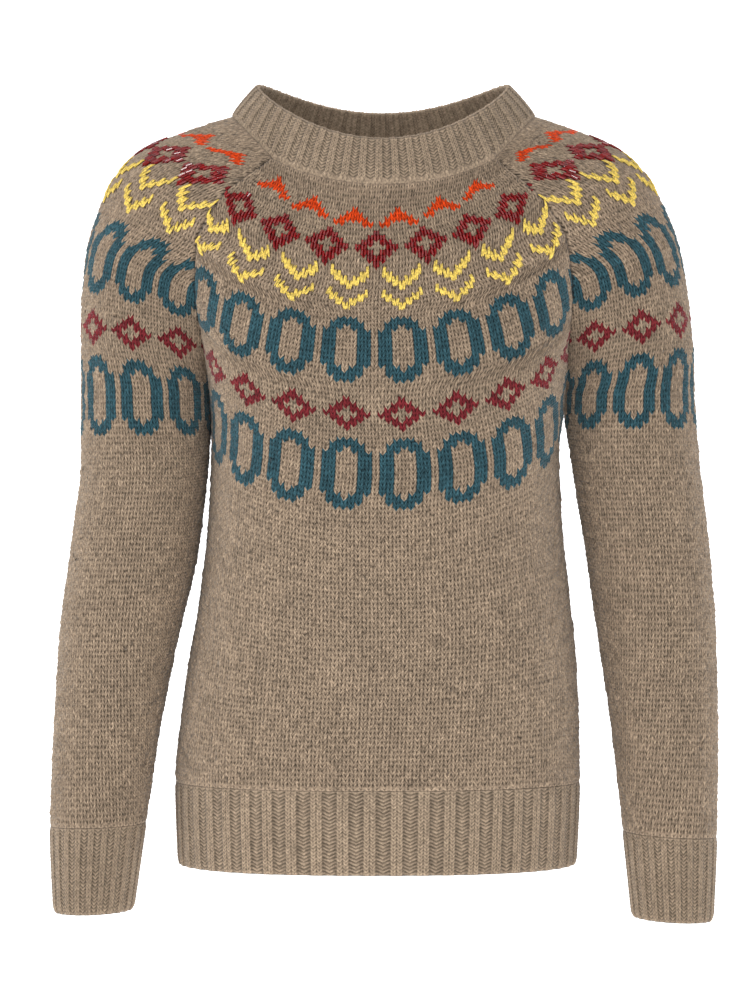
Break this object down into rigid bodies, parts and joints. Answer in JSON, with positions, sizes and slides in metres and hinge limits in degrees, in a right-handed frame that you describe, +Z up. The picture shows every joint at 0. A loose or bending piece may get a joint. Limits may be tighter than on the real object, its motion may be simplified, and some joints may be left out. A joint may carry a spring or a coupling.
{
  "type": "knitted yoke jumper",
  "caption": "Long-sleeved knitted jumper with a ribbed crew neck and a round colourwork yoke, hollow and filled out as if worn.",
  "frame": {"origin": "middle of the neckline where the neckband joins the yoke, level with the two side neck points, where the wearer's neck and shoulders hold the jumper up", "axes": "+Z up along the wearer's neck, -Y out of the front, +X to the right of a viewer who faces the front"},
  "size_m": [0.5577, 0.234, 0.6996],
  "materials": {
    "wool_knit": "heathered taupe wool in stocking stitch, matte, with a colourwork yoke in teal, crimson, yellow and orange",
    "wool_rib": "the same heathered taupe wool in rib, matte"
  },
  "bodies": {
    "root": {"front": "wool_knit", "back": "wool_knit", "sleeve_left": "wool_knit", "sleeve_right": "wool_knit", "neckband": "wool_rib", "hem_rib_front": "wool_rib", "hem_rib_back": "wool_rib", "cuff_left": "wool_rib", "cuff_right": "wool_rib"}
  },
  "joints": []
}
